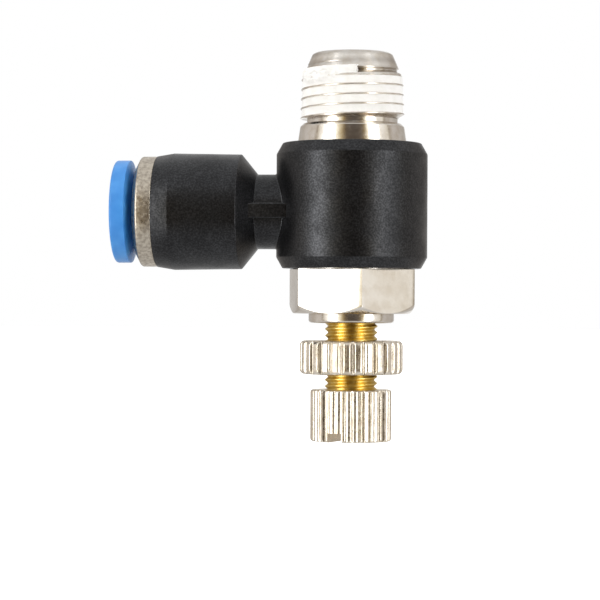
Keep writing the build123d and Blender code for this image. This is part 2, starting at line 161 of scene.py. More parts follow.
def finished(name, shape, material, sharp=35):
    """A smooth-shaded object from one or more meshes, sharp where the form turns."""
    parts = shape if isinstance(shape, list) else [shape]
    whole = bmesh.new()
    for part in parts:
        if isinstance(part, bmesh.types.BMesh):
            mesh = bpy.data.meshes.new(name)
            part.to_mesh(mesh)
            part.free()
        else:
            mesh = part
        whole.from_mesh(mesh)
        bpy.data.meshes.remove(mesh)
    mesh = bpy.data.meshes.new(name)
    whole.to_mesh(mesh)
    whole.free()
    mesh.shade_smooth()
    mesh.set_sharp_from_angle(angle=math.radians(sharp))
    mesh.materials.clear()
    mesh.materials.append(material)
    piece = bpy.data.objects.new(name, mesh)
    bpy.context.collection.objects.link(piece)
    return piece


# Nickel plate over turned brass: a warm bright metal, its tool marks run round the axis,
# and the plating is a little thinner and browner in patches.
def nickel_plate(name, marks, mark_mm, mark_depth, rough, pale="#EAE5DE", dull="#DCD4C9",
                 patch_mm=0.9, groove_shade=0.25):
    """Nickel plate; marks is 'turned', 'drawn' or 'cast', and the last argument sets how much painted
    shade darkens its grooves.
    """
    material, tree, shader = surface(name)
    place = add(tree, "ShaderNodeTexCoord").outputs["Object"]
    tint = shades(tree, noise(tree, place, patch_mm, 5.0), (0.35, dull), (0.62, pale))
    # Painted shade: the deeper a point lies in a thread root or knurl groove, the more its colour is
    # mixed towards dark brown.
    groove = add(tree, "ShaderNodeAttribute", attribute_name="groove").outputs["Fac"]
    shade_in_grooves = calc(tree, "MULTIPLY", groove, groove_shade, clamp=True)
    base = add(tree, "ShaderNodeMix", {0: shade_in_grooves, 6: tint, 7: linear("#4A3C28")}, data_type="RGBA")
    tree.links.new(base.outputs[2], shader.inputs["Base Color"])
    shader.inputs["Metallic"].default_value = 1.0
    gloss = between(tree, noise(tree, place, 0.35, 3.0), rough * 0.75, rough * 1.35, 0.3, 0.7)
    tree.links.new(gloss, shader.inputs["Roughness"])
    stretch = {"turned": (0.06, 0.06, 1.0), "drawn": (1.0, 1.0, 0.05), "cast": (1.0, 1.0, 1.0)}[marks]
    lines = add(tree, "ShaderNodeMapping", {"Vector": place, "Scale": stretch})
    raised(tree, shader, noise(tree, lines, mark_mm, 4.0, Roughness=0.6), mark_depth)
    return material


TURNED_NICKEL = nickel_plate("nickel_plated_turned_brass", "turned", 0.10, 0.004, 0.17)
DRAWN_NICKEL = nickel_plate("nickel_plated_hexagon_bar", "drawn", 0.22, 0.0015, 0.15, patch_mm=1.6)

# Heights in mm above the thread's gauge plane.
RUN_GAP, FIT_GAP = 0.05, 0.01
THREAD_TOP, THREAD_BOTTOM = 3.7, -2.54
RELIEF_BOTTOM = THREAD_BOTTOM - 0.47
SNAP_BOTTOM = RELIEF_BOTTOM - 1.80
RING_TOP = SNAP_BOTTOM - RUN_GAP
RING_BOTTOM = RING_TOP - 11.84
HEX_TOP = RING_BOTTOM - RUN_GAP
HEX_BOTTOM = HEX_TOP - 4.21
ARM_Z = RING_TOP - 6.48
SEAT_TOP = RING_TOP - 3.44
SEAT_BOTTOM = SEAT_TOP - 0.7
SUPPLY_TOP, SUPPLY_BOTTOM = ARM_Z + 1.7, ARM_Z - 1.7
RETURN_BOTTOM = SUPPLY_TOP + 1.8
RETURN_TOP = RETURN_BOTTOM + 1.1
SEAL_MIDDLE = (SUPPLY_TOP + RETURN_BOTTOM) / 2
SEAL_HALF, FLANGE_WIDTH = 0.5, 0.3
SEAL_TOP, SEAL_BOTTOM = SEAL_MIDDLE + SEAL_HALF, SEAL_MIDDLE - SEAL_HALF
GROOVE_WIDTH = 1.1
UPPER_GROOVE, LOWER_GROOVE = RING_TOP - 0.45, RING_BOTTOM + 1.3
# Radii in mm.
PASSAGE_R, SHANK_R, WAIST_R, GLAND_BORE_R, SEAT_R = 2.5, 5.0, 4.2, 2.8, 1.5
RELIEF_R, SNAP_SMALL_R, SNAP_LARGE_R, SNAP_EDGE = 4.3, 4.93, 5.15, 0.3
FLANGE_R, SEAL_GROOVE_R, GROOVE_R = 4.75, 4.0, 4.1
THREAD_CORE_R = 3.5
END_DROP = 0.02                  # the core's end lies just under the thread's

shank = turned([
    (PASSAGE_R, THREAD_TOP - END_DROP, 0.15),
    (THREAD_CORE_R, THREAD_TOP - END_DROP, 0),
    (THREAD_CORE_R, THREAD_BOTTOM, 0),
    (RELIEF_R, THREAD_BOTTOM, 0.05),
    (RELIEF_R, RELIEF_BOTTOM, 0.05),
    (SNAP_SMALL_R - SNAP_EDGE, RELIEF_BOTTOM, 0.08),
    (SNAP_SMALL_R, RELIEF_BOTTOM - SNAP_EDGE, 0.12),
    (SNAP_LARGE_R, SNAP_BOTTOM, 0.04),
    (SHANK_R, SNAP_BOTTOM, 0),
    (SHANK_R, UPPER_GROOVE, 0),
    (GROOVE_R, UPPER_GROOVE, 0),
    (GROOVE_R, UPPER_GROOVE - GROOVE_WIDTH, 0),
    (SHANK_R, UPPER_GROOVE - GROOVE_WIDTH, 0),
    (SHANK_R, RETURN_TOP, 0),
    (WAIST_R, RETURN_TOP, 0),
    (WAIST_R, SEAL_TOP + FLANGE_WIDTH, 0),
    (FLANGE_R, SEAL_TOP + FLANGE_WIDTH, 0),
    (FLANGE_R, SEAL_TOP, 0),
    (SEAL_GROOVE_R, SEAL_TOP, 0),
    (SEAL_GROOVE_R, SEAL_BOTTOM, 0),
    (FLANGE_R, SEAL_BOTTOM, 0),
    (FLANGE_R, SEAL_BOTTOM - FLANGE_WIDTH, 0),
    (WAIST_R, SEAL_BOTTOM - FLANGE_WIDTH, 0),
    (WAIST_R, SUPPLY_BOTTOM, 0),
    (SHANK_R, SUPPLY_BOTTOM, 0),
    (SHANK_R, LOWER_GROOVE + GROOVE_WIDTH, 0),
    (GROOVE_R, LOWER_GROOVE + GROOVE_WIDTH, 0),
    (GROOVE_R, LOWER_GROOVE, 0),
    (SHANK_R, LOWER_GROOVE, 0),
    (SHANK_R, HEX_TOP - 0.3, 0),
    (GLAND_BORE_R, HEX_TOP - 0.3, 0),
    (GLAND_BORE_R, SEAT_BOTTOM, 0),
    (SEAT_R, SEAT_BOTTOM, 0),
    (SEAT_R, SEAT_TOP, 0),
    (PASSAGE_R, SEAT_TOP + PASSAGE_R - SEAT_R, 0),
])

# The hexagon: flats 11.05 mm apart, its six edges broken, corners turned off at 30 degrees
# on the free end and rounded by the tumbling before the plating.
HEX_FLATS, HEX_TURN, HEX_EDGE, HEX_BEVEL = 11.05, math.radians(-77), 0.15, math.radians(30)
HEX_BORE, HEX_EASE, HEX_FACE_STEPS = 3.26, 0.06, 32


def hexagon_bar():
    """The hexagon as columns of points, each one following the flat, the bevel and the ends."""
    across = HEX_FLATS / 2
    vertex = (across - HEX_EDGE) / math.cos(math.pi / 6)
    edge_start = math.atan((across - HEX_EDGE) * math.tan(math.pi / 6) / across)
    bevel_start = across - HEX_EASE
    shape = bmesh.new()
    columns = []
    for i in range(6 * HEX_FACE_STEPS):
        face_turn = (i % HEX_FACE_STEPS) / HEX_FACE_STEPS * math.pi / 3 - math.pi / 6
        if abs(face_turn) < edge_start:
            r = across / math.cos(face_turn)
        else:
            off = math.pi / 6 - abs(face_turn)
            r = vertex * math.cos(off) + math.sqrt(HEX_EDGE ** 2 - (vertex * math.sin(off)) ** 2)
        reach = (r - bevel_start) / math.cos(HEX_BEVEL)
        rise = reach * math.sin(HEX_BEVEL)
        ease = 0.4 * reach * math.tan((math.pi / 2 + HEX_BEVEL) / 2)
        column = eased([
            (HEX_BORE, HEX_BOTTOM, 0.02),
            (bevel_start, HEX_BOTTOM, 0.02),
            (r, HEX_BOTTOM + rise, ease),
            (r, HEX_TOP, 0.05),
            (HEX_BORE, HEX_TOP, 0.02),
        ])
        turn = HEX_TURN + i / HEX_FACE_STEPS * math.pi / 3
        cosine, sine = math.cos(turn), math.sin(turn)
        columns.append([
            shape.verts.new((p.x * MM * cosine, p.x * MM * sine, p.y * MM)) for p in column
        ])
    for i, column in enumerate(columns):
        other = columns[(i + 1) % len(columns)]
        for k in range(len(column)):
            n = (k + 1) % len(column)
            shape.faces.new([column[k], column[n], other[n], other[k]])
    bmesh.ops.recalc_face_normals(shape, faces=shape.faces)
    return shape


# The taper thread and the straight thread below are one rule: the surface of a screw.
# Its rows follow the helix, so that crest and root stay crisp right round.
def screw_tree():
    """Geometry Nodes tree: a closed threaded sleeve between two heights."""
    tree = bpy.data.node_groups.new("screw_thread", "GeometryNodeTree")
    names = ("Pitch", "Depth", "Gauge Radius", "Taper", "Bottom", "Top", "Turns", "Start Turn",
             "End Radius", "End Slope", "End Round", "Core Radius", "Crest Share", "Root Share")
    for name in names:
        tree.interface.new_socket(name=name, in_out="INPUT", socket_type="NodeSocketFloat")
    tree.interface.new_socket(name="Round Steps", in_out="INPUT", socket_type="NodeSocketInt")
    tree.interface.new_socket(name="Rows Per Turn", in_out="INPUT", socket_type="NodeSocketInt")
    tree.interface.new_socket(name="Material", in_out="INPUT", socket_type="NodeSocketMaterial")
    tree.interface.new_socket(name="Geometry", in_out="OUTPUT", socket_type="NodeSocketGeometry")
    size = add(tree, "NodeGroupInput").outputs
    rows = calc(tree, "MULTIPLY", size["Turns"], size["Rows Per Turn"])
    last = calc(tree, "ADD", rows, 3.0)
    count = calc(tree, "ADD", last, 1.0)
    across = calc(tree, "ADD", size["Round Steps"], 1.0)
    grid = add(tree, "GeometryNodeMeshGrid", {
        "Size X": 1.0, "Size Y": 1.0, "Vertices X": across, "Vertices Y": count})
    spot = add(tree, "ShaderNodeSeparateXYZ", (add(tree, "GeometryNodeInputPosition"),))
    share = calc(tree, "ADD", spot.outputs["X"], 0.5)
    level = calc(tree, "ADD", spot.outputs["Y"], 0.5)
    row = calc(tree, "MULTIPLY", level, last)
    # Height of each row before it is trimmed to the two ends.
    step = calc(tree, "ADD", row, -1.0)
    climb = calc(tree, "DIVIDE", step, size["Rows Per Turn"])
    wound = calc(tree, "ADD", climb, share)
    lowered = calc(tree, "ADD", wound, -1.0)
    raw = calc(tree, "MULTIPLY_ADD", lowered, size["Pitch"], size["Bottom"])
    floor = calc(tree, "MAXIMUM", raw, size["Bottom"])
    height = calc(tree, "MINIMUM", floor, size["Top"])
    # Where that height lies in the thread's form: 0 is mid crest and 1 is mid root.
    risen = calc(tree, "SUBTRACT", height, size["Bottom"])
    turns = calc(tree, "DIVIDE", risen, size["Pitch"])
    unwound = calc(tree, "SUBTRACT", turns, share)
    phase = calc(tree, "SUBTRACT", unwound, size["Start Turn"])
    wave = calc(tree, "PINGPONG", phase, 0.5)
    form = calc(tree, "MULTIPLY", wave, 2.0)
    root_at = calc(tree, "SUBTRACT", 1.0, size["Root Share"])
    cut = between(tree, form, start=size["Crest Share"], end=root_at)
    major = calc(tree, "MULTIPLY", height, size["Taper"])
    crest = calc(tree, "SUBTRACT", size["Gauge Radius"], major)
    groove = calc(tree, "MULTIPLY", cut, size["Depth"])
    thread = calc(tree, "SUBTRACT", crest, groove)
    below = calc(tree, "SUBTRACT", size["Top"], height)
    bevel = calc(tree, "MULTIPLY_ADD", below, size["End Slope"], size["End Radius"])
    past = calc(tree, "DIVIDE", below, size["End Round"])
    near_end = calc(tree, "SUBTRACT", 1.0, past, clamp=True)
    square = calc(tree, "MULTIPLY", near_end, near_end)
    drawn_in = calc(tree, "MULTIPLY", square, size["End Round"])
    rounded = calc(tree, "SUBTRACT", bevel, drawn_in)
    radius = calc(tree, "MINIMUM", thread, rounded)
    # The first row and the last two lie on the core, and close the sleeve.
    start = calc(tree, "LESS_THAN", row, 0.5)
    thread_end = calc(tree, "ADD", rows, 1.5)
    stop = calc(tree, "GREATER_THAN", row, thread_end)
    inner = calc(tree, "MAXIMUM", start, stop)
    sleeve = add(tree, "GeometryNodeSwitch", {
        "Switch": inner, "False": radius, "True": size["Core Radius"]}, input_type="FLOAT")
    closing_at = calc(tree, "ADD", rows, 2.5)
    closing = calc(tree, "GREATER_THAN", row, closing_at)
    bottoming = calc(tree, "MAXIMUM", start, closing)
    ended = add(tree, "GeometryNodeSwitch", {
        "Switch": stop, "False": height, "True": size["Top"]}, input_type="FLOAT")
    level_z = add(tree, "GeometryNodeSwitch", {
        "Switch": bottoming, "False": ended, "True": size["Bottom"]}, input_type="FLOAT")
    angle = calc(tree, "MULTIPLY", share, 2 * math.pi)
    cosine = calc(tree, "COSINE", angle)
    sine = calc(tree, "SINE", angle)
    x = calc(tree, "MULTIPLY", cosine, sleeve)
    y = calc(tree, "MULTIPLY", sine, sleeve)
    place = add(tree, "ShaderNodeCombineXYZ", (x, y, level_z))
    flat = grid.outputs["Mesh"]
    # The depth into the groove is kept as 'groove', which the metal shaders use to paint shade into the
    # thread roots.
    marked = add(tree, "GeometryNodeStoreNamedAttribute", {"Geometry": flat, "Name": "groove"})
    tree.links.new(cut, marked.inputs["Value"])
    wrapped = add(tree, "GeometryNodeSetPosition", {"Geometry": marked, "Position": place})
    closed = add(tree, "GeometryNodeMergeByDistance", {"Geometry": wrapped, "Distance": 0.002 * MM})
    real = add(tree, "GeometryNodeRealizeInstances", {"Geometry": closed})
    coated = add(tree, "GeometryNodeSetMaterial", {"Geometry": real, "Material": size["Material"]})
    add(tree, "NodeGroupOutput", {"Geometry": coated})
    return tree


def grown(name, tree, values, base=None):
    """Runs a Geometry Nodes tree with its named inputs set, and returns the plain mesh."""
    carrier = bpy.data.objects.new(name, base or bpy.data.meshes.new(name))
    bpy.context.collection.objects.link(carrier)
    modifier = carrier.modifiers.new("grow", "NODES")
    modifier.node_group = tree
    for item in tree.interface.items_tree:
        if item.in_out == "INPUT" and item.name in values:
            modifier[item.identifier] = values[item.name]
    seen = carrier.evaluated_get(bpy.context.evaluated_depsgraph_get())
    mesh = bpy.data.meshes.new_from_object(seen)
    carrier.modifiers.remove(modifier)
    bpy.data.objects.remove(carrier)
    return mesh


def facing_out(mesh):
    """The same mesh with its faces turned outwards."""
    shape = bmesh.new()
    shape.from_mesh(mesh)
    bpy.data.meshes.remove(mesh)
    bmesh.ops.recalc_face_normals(shape, faces=shape.faces)
    return shape


SCREW = screw_tree()
PIPE_PITCH, PIPE_DEPTH, GAUGE_R, PIPE_TAPER = 0.907, 0.581, 9.728 / 2, 1 / 32
pipe_thread = facing_out(grown("pipe_thread", SCREW, {
    "Pitch": PIPE_PITCH * MM, "Depth": PIPE_DEPTH * MM, "Gauge Radius": GAUGE_R * MM,
    "Taper": PIPE_TAPER, "Bottom": THREAD_BOTTOM * MM, "Top": THREAD_TOP * MM,
    "Turns": 10.0, "Start Turn": 0.5,
    "End Radius": 3.74 * MM, "End Slope": 0.43, "End Round": 0.25 * MM, "Core Radius": 2.9 * MM,
    "Crest Share": 0.09, "Root Share": 0.16, "Round Steps": STEPS, "Rows Per Turn": 18,
    "Material": TURNED_NICKEL}))

valve_body = finished("valve_body_metal", [shank, pipe_thread], TURNED_NICKEL)
hexagon = finished("spanner_hexagon", hexagon_bar(), DRAWN_NICKEL, sharp=14)
for piece in (valve_body, hexagon):
    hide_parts("valve_body")
    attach(piece, "body")

# ---------------------------------------------------------------------------------------
# Thread sealant. A white fluoropolymer paste brushed into the grooves and dried: matt,
# filled to just below the crests, and lumpy where the brush lifted at the first turn.


def sealant_tree():
    """Geometry Nodes tree: a coat wound into the groove between two turns of the thread."""
    tree = bpy.data.node_groups.new("sealant_coat", "GeometryNodeTree")
    names = ("Pitch", "Gauge Radius", "Taper", "Bottom", "Top", "Below Crest", "Hidden Depth",
             "Start Turn", "First Turn", "Last Turn", "Core Radius", "Lump Height", "Lump Size",
             "Blob Height", "Blob Core", "Blob Reach")
    for name in names:
        tree.interface.new_socket(name=name, in_out="INPUT", socket_type="NodeSocketFloat")
    tree.interface.new_socket(name="Blob Place", in_out="INPUT", socket_type="NodeSocketVector")
    tree.interface.new_socket(name="Round Steps", in_out="INPUT", socket_type="NodeSocketInt")
    tree.interface.new_socket(name="Rows", in_out="INPUT", socket_type="NodeSocketInt")
    tree.interface.new_socket(name="Seed", in_out="INPUT", socket_type="NodeSocketFloat")
    tree.interface.new_socket(name="Material", in_out="INPUT", socket_type="NodeSocketMaterial")
    tree.interface.new_socket(name="Geometry", in_out="OUTPUT", socket_type="NodeSocketGeometry")
    size = add(tree, "NodeGroupInput").outputs
    across = calc(tree, "ADD", size["Round Steps"], 1.0)
    count = calc(tree, "ADD", size["Rows"], 3.0)
    grid = add(tree, "GeometryNodeMeshGrid", {
        "Size X": 1.0, "Size Y": 1.0, "Vertices X": across, "Vertices Y": count})
    spot = add(tree, "ShaderNodeSeparateXYZ", (add(tree, "GeometryNodeInputPosition"),))
    share = calc(tree, "ADD", spot.outputs["X"], 0.5)
    level = calc(tree, "ADD", spot.outputs["Y"], 0.5)
    last = calc(tree, "ADD", size["Rows"], 2.0)
    row = calc(tree, "MULTIPLY", level, last)
    # Rows 1 to Rows climb from the bottom to the top; row 0 and the last two close the sleeve.
    up = calc(tree, "ADD", row, -1.0)
    span = calc(tree, "ADD", size["Rows"], -1.0)
    rise = calc(tree, "DIVIDE", up, span, clamp=True)
    height = between(tree, rise, size["Bottom"], size["Top"])
    angle = calc(tree, "MULTIPLY", share, 2 * math.pi)
    cosine = calc(tree, "COSINE", angle)
    sine = calc(tree, "SINE", angle)
    major = calc(tree, "MULTIPLY", height, size["Taper"])
    crest = calc(tree, "SUBTRACT", size["Gauge Radius"], major)
    on_x = calc(tree, "MULTIPLY", cosine, crest)
    on_y = calc(tree, "MULTIPLY", sine, crest)
    on_thread = add(tree, "ShaderNodeCombineXYZ", (on_x, on_y, height))
    # Lumps over the whole coat, and a thick dab at one place on the first turn.
    scale = calc(tree, "DIVIDE", 1.0, size["Lump Size"])
    lumps = add(tree, "ShaderNodeTexNoise", {
        "Vector": on_thread, "W": size["Seed"], "Scale": scale, "Detail": 3.0}, noise_dimensions="4D")
    lump = calc(tree, "ADD", lumps.outputs[0], -0.5)
    lumpy = calc(tree, "MULTIPLY", lump, size["Lump Height"])
    offset = add(tree, "ShaderNodeVectorMath", (on_thread, size["Blob Place"]), operation="SUBTRACT")
    level_off = add(tree, "ShaderNodeVectorMath", (offset, (1.0, 1.0, 3.0)), operation="MULTIPLY")
    away = add(tree, "ShaderNodeVectorMath", (level_off,), operation="LENGTH")
    far = away.outputs["Value"]
    near = between(tree, far, 1.0, 0.0, size["Blob Core"], size["Blob Reach"], form="SMOOTHSTEP")
    uneven = between(tree, lumps, 0.35, 1.0, 0.36, 0.58)
    dab = calc(tree, "MULTIPLY", near, uneven)
    blob = calc(tree, "MULTIPLY", dab, size["Blob Height"])
    coat = calc(tree, "SUBTRACT", crest, size["Below Crest"])
    coat = calc(tree, "ADD", coat, lumpy)
    coat = calc(tree, "ADD", coat, blob)
    # The coat starts and stops along the helix, with a ragged end.
    risen = calc(tree, "SUBTRACT", height, size["Bottom"])
    turns = calc(tree, "DIVIDE", risen, size["Pitch"])
    unwound = calc(tree, "SUBTRACT", turns, share)
    along = calc(tree, "SUBTRACT", unwound, size["Start Turn"])
    groove = calc(tree, "FLOOR", along)
    wound = calc(tree, "ADD", groove, share)
    ragged = calc(tree, "MULTIPLY_ADD", lump, 0.06, wound)
    first = calc(tree, "ADD", size["First Turn"], 0.02)
    end = calc(tree, "ADD", size["Last Turn"], 0.02)
    begun = between(tree, ragged, start=size["First Turn"], end=first, form="SMOOTHSTEP")
    over = between(tree, ragged, 1.0, 0.0, size["Last Turn"], end, form="SMOOTHSTEP")
    there = calc(tree, "MULTIPLY", begun, over)
    bare = calc(tree, "SUBTRACT", crest, size["Hidden Depth"])
    radius = between(tree, there, bare, coat)
    start = calc(tree, "LESS_THAN", row, 0.5)
    top_at = calc(tree, "ADD", size["Rows"], 0.5)
    stop = calc(tree, "GREATER_THAN", row, top_at)
    inner = calc(tree, "MAXIMUM", start, stop)
    sleeve = add(tree, "GeometryNodeSwitch", {
        "Switch": inner, "False": radius, "True": size["Core Radius"]}, input_type="FLOAT")
    closing_at = calc(tree, "ADD", size["Rows"], 1.5)
    closing = calc(tree, "GREATER_THAN", row, closing_at)
    level_z = add(tree, "GeometryNodeSwitch", {
        "Switch": closing, "False": height, "True": size["Bottom"]}, input_type="FLOAT")
    x = calc(tree, "MULTIPLY", cosine, sleeve)
    y = calc(tree, "MULTIPLY", sine, sleeve)
    place = add(tree, "ShaderNodeCombineXYZ", (x, y, level_z))
    flat = grid.outputs["Mesh"]
    wrapped = add(tree, "GeometryNodeSetPosition", {"Geometry": flat, "Position": place})
    closed = add(tree, "GeometryNodeMergeByDistance", {"Geometry": wrapped, "Distance": 0.002 * MM})
    real = add(tree, "GeometryNodeRealizeInstances", {"Geometry": closed})
    coated = add(tree, "GeometryNodeSetMaterial", {"Geometry": real, "Material": size["Material"]})
    add(tree, "NodeGroupOutput", {"Geometry": coated})
    return tree


# Dried fluoropolymer paste: chalky white, with a fine grain and small pits.
SEALANT, tree, shader = surface("dried_white_sealant")
place = add(tree, "ShaderNodeTexCoord").outputs["Object"]
tint = shades(tree, noise(tree, place, 1.1, 3.0), (0.3, "#F6F6F4"), (0.6, "#FFFFFF"))
tree.links.new(tint, shader.inputs["Base Color"])
shader.inputs["Roughness"].default_value = 0.75
raised(tree, shader, noise(tree, place, 0.12, 4.0), 0.02)

coat = facing_out(grown("coat", sealant_tree(), {
    "Pitch": PIPE_PITCH * MM, "Gauge Radius": GAUGE_R * MM, "Taper": PIPE_TAPER,
    "Bottom": THREAD_BOTTOM * MM, "Top": 3.0 * MM, "Below Crest": 0.12 * MM,
    "Hidden Depth": (PIPE_DEPTH + 0.15) * MM, "Start Turn": 0.5, "First Turn": -0.85, "Last Turn": 3.77,
    "Core Radius": 3.5 * MM, "Lump Height": 0.1 * MM, "Lump Size": 0.6 * MM,
    "Blob Height": 0.27 * MM, "Blob Core": 1.6 * MM, "Blob Reach": 3.4 * MM,
    "Blob Place": Vector((-3.4, -3.3, 1.55)) * MM,
    "Round Steps": STEPS, "Rows": 150, "Seed": 4.0, "Material": SEALANT}))
sealant = finished("thread_sealant_coat", coat, SEALANT, sharp=80)
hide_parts("thread_sealant")
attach(sealant, "body")

# ---------------------------------------------------------------------------------------
# Guide bush. A flanged nickel-plated bush pressed into the hexagon; the needle's thread
# runs in it, and its flange shows as a thin collar under the hexagon.

NEEDLE_R, THREAD_GAP = 2.5, 0.04
BUSH_FLANGE_R, BUSH_R = 4.05, 3.25
BUSH_BOTTOM, BUSH_TOP = HEX_BOTTOM - 0.89, HEX_BOTTOM + 2.36
bush = finished("guide_bush_turned", turned([
    (NEEDLE_R + THREAD_GAP, BUSH_BOTTOM, 0.12),
    (BUSH_FLANGE_R, BUSH_BOTTOM, 0.3),
    (BUSH_FLANGE_R, HEX_BOTTOM, 0.03),
    (BUSH_R, HEX_BOTTOM, 0),
    (BUSH_R, BUSH_TOP, 0),
    (NEEDLE_R + THREAD_GAP, BUSH_TOP, 0),
]), TURNED_NICKEL)
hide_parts("guide_bush")
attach(bush, "body")

# Rubber seals on the shank and on the needle. Moulded nitrile rubber: near black, softly
# matt, with a faint mould texture. They are hidden once the elbow is on.
RUBBER, tree, shader = surface("moulded_nitrile_rubber")
place = add(tree, "ShaderNodeTexCoord").outputs["Object"]
cloud = noise(tree, place, 0.5, 3.0)
tree.links.new(between(tree, cloud, 0.5, 0.72), shader.inputs["Roughness"])
shader.inputs["Base Color"].default_value = linear("#1A1A1B")
raised(tree, shader, cloud, 0.01, strength=0.6)
for node in ("check_seal", "o_ring_upper", "o_ring_lower", "needle_o_ring", "tube_seal"):
    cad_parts[node].data.materials.clear()
    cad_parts[node].data.materials.append(RUBBER)

# ---------------------------------------------------------------------------------------
# Needle. Turned brass, left unplated: its rolled M5 thread shows above and below the nut,
# and its cone meters the air at the seat inside the body.

NEEDLE_PITCH, NEEDLE_DEPTH = 0.6, 0.27
NUT_TOP = BUSH_BOTTOM - 1.64
NUT_BOTTOM = NUT_TOP - 3.21
KNOB_TOP = NUT_BOTTOM - 1.43
KNOB_BOTTOM = KNOB_TOP - 4.9
GLAND_TOP = ARM_Z - 1.86
GLAND_BOTTOM = GLAND_TOP - 1.5
NEEDLE_GROOVE_EDGE = 0.325       # the seal groove starts so far inside the gland's two ends
SCREW_TOP = GLAND_BOTTOM - 0.4
CLOSING_TRAVEL = 0.8
METER_R, METER_TIP_R, TIP_R = 1.44, 1.1, 0.6
STEM_R, GLAND_R, NEEDLE_GROOVE_R, UNDERCUT_R = 1.9, 2.75, 2.03, 2.2
SEAT_FACE = SEAT_BOTTOM - CLOSING_TRAVEL - RUN_GAP + SEAT_R - METER_R
METER_TOP = SEAT_FACE + 2.3
STUD_BOTTOM = KNOB_TOP - 3.3

# Bare brass: a deep yellow metal, bright on the crests, with painted shade making it browner down in
# the thread.
BRASS, tree, shader = surface("bare_turned_brass")
place = add(tree, "ShaderNodeTexCoord").outputs["Object"]
cloud = noise(tree, place, 0.6, 4.0)
tint = shades(tree, cloud, (0.32, "#DDBB5E"), (0.62, "#F3DA8C"))
# Painted shade in the thread's roots: the colour is mixed towards dark brown by the depth into the
# groove.
groove = add(tree, "ShaderNodeAttribute", attribute_name="groove").outputs["Fac"]
shade_in_grooves = calc(tree, "MULTIPLY", groove, 0.2)
base = add(tree, "ShaderNodeMix", {0: shade_in_grooves, 6: tint, 7: linear("#6E4C12")}, data_type="RGBA")
tree.links.new(base.outputs[2], shader.inputs["Base Color"])
shader.inputs["Metallic"].default_value = 1.0
tree.links.new(between(tree, cloud, 0.26, 0.4), shader.inputs["Roughness"])
lines = add(tree, "ShaderNodeMapping", {"Vector": place, "Scale": (0.08, 0.08, 1.0)})
raised(tree, shader, noise(tree, lines, 0.07, 3.0), 0.004)

needle_screw = facing_out(grown("needle_screw", SCREW, {
    "Pitch": NEEDLE_PITCH * MM, "Depth": NEEDLE_DEPTH * MM, "Gauge Radius": NEEDLE_R * MM, "Taper": 0.0,
    "Bottom": (KNOB_TOP - 0.02) * MM, "Top": SCREW_TOP * MM, "Turns": 24.0, "Start Turn": 0.0,
    "End Radius": 2.25 * MM, "End Slope": 1.0, "End Round": 0.05 * MM, "Core Radius": 1.6 * MM,
    "Crest Share": 0.1, "Root Share": 0.16, "Round Steps": 128, "Rows Per Turn": 16,
    "Material": BRASS}))
needle_core = turned([
    (0, STUD_BOTTOM, 0),
    (STEM_R, STUD_BOTTOM, 0.1),
    (STEM_R, SCREW_TOP - 0.1, 0),
    (UNDERCUT_R, SCREW_TOP - 0.1, 0),
    (UNDERCUT_R, GLAND_BOTTOM, 0),
    (GLAND_R, GLAND_BOTTOM, 0.05),
    (GLAND_R, GLAND_BOTTOM + NEEDLE_GROOVE_EDGE, 0),
    (NEEDLE_GROOVE_R, GLAND_BOTTOM + NEEDLE_GROOVE_EDGE, 0),
    (NEEDLE_GROOVE_R, GLAND_TOP - NEEDLE_GROOVE_EDGE, 0),
    (GLAND_R, GLAND_TOP - NEEDLE_GROOVE_EDGE, 0),
    (GLAND_R, GLAND_TOP, 0.05),
    (STEM_R, GLAND_TOP, 0),
    (STEM_R, SEAT_FACE - (STEM_R - METER_R), 0.05),
    (METER_R, SEAT_FACE, 0.03),
    (METER_TIP_R, METER_TOP, 0.1),
    (TIP_R, METER_TOP + 0.38, 0.15),
    (0, METER_TOP + 0.38, 0),
], steps=128)
needle = finished("needle_brass", [needle_core, needle_screw], BRASS)
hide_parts("needle")
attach(needle, "adjuster")

# ---------------------------------------------------------------------------------------
# Lock nut. Turned from nickel-plated brass bar with a coarse straight knurl, so that it
# can be run up against the bush by hand to lock the needle.


